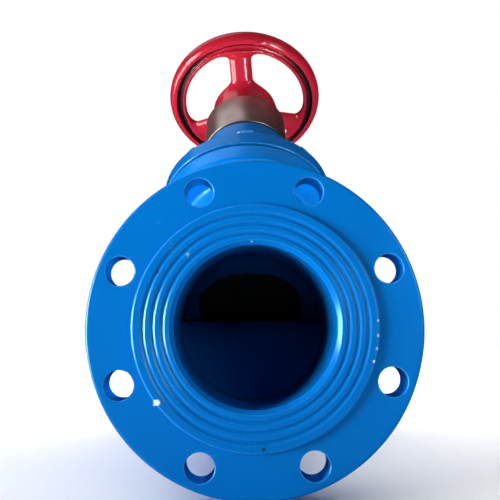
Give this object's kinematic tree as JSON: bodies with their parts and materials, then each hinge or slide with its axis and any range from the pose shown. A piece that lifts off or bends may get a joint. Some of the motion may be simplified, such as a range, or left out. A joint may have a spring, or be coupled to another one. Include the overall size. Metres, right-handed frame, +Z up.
{
  "type": "balancing valve",
  "caption": "DN100 flanged Y-pattern balancing valve, blue cast iron, bolted bonnet, steel indicator sleeve and red three-spoke handwheel that lifts the plug",
  "frame": {"origin": "centre of the inlet flange's raised face", "axes": "+Y along the bore from inlet to outlet, +Z up on the side the stem leans over, +X to the right seen from the inlet"},
  "size_m": [0.208, 0.4204, 0.4173],
  "materials": {
    "blue_paint": "glossy sprayed paint on cast iron",
    "red_paint": "glossy enamel on cast iron",
    "sleeve_steel": "turned and satin",
    "zinc_plate": "zinc plated",
    "stainless": "turned",
    "brass": "turned",
    "cast_plug": "rough cast",
    "rubber": "moulded",
    "gasket_fibre": "pressed fibre",
    "white_plastic": "matt",
    "clear_window": "clear",
    "red_plastic": "moulded",
    "blue_plastic": "moulded"
  },
  "bodies": {
    "valve": {"valve_body": "blue_paint", "seat_ring": "stainless", "bonnet": "blue_paint", "bonnet_gasket": "gasket_fibre", "bonnet_bolt_1": "blue_paint", "bonnet_bolt_2": "blue_paint", "bonnet_bolt_3": "blue_paint", "bonnet_bolt_4": "blue_paint", "bonnet_bolt_5": "blue_paint", "bonnet_bolt_6": "blue_paint", "bonnet_bolt_7": "blue_paint", "bonnet_bolt_8": "blue_paint", "stem_packing": "gasket_fibre", "gland_follower": "brass", "thrust_bush": "brass", "sleeve_seal": "rubber", "indicator_sleeve": "sleeve_steel", "sleeve_cover": "zinc_plate", "indicator_drum": "white_plastic", "indicator_window": "clear_window", "inlet_test_point": "brass", "inlet_test_cap": "red_plastic", "outlet_test_point": "brass", "outlet_test_cap": "blue_plastic"},
    "wheel": {"handwheel": "red_paint", "stem_nut": "brass", "wheel_washer": "zinc_plate", "wheel_nut": "zinc_plate"},
    "plug_stem": {"plug": "cast_plug", "plug_facing": "rubber", "stem": "stainless"}
  },
  "joints": [
    {"name": "handwheel_turn", "type": "hinge", "parent": "valve", "child": "wheel", "pos_m": [0, 0.153, 0], "axis": [0, 0.6088, 0.7934], "range_deg": [0, 2250]},
    {"name": "plug_lift", "type": "slide", "parent": "valve", "child": "plug_stem", "axis": [0, 0.6088, 0.7934], "range_m": [0, 0.025]}
  ],
  "couplings": [
    {"joint": "plug_lift", "follows": "handwheel_turn", "m_per_rad": 0.0006366}
  ]
}
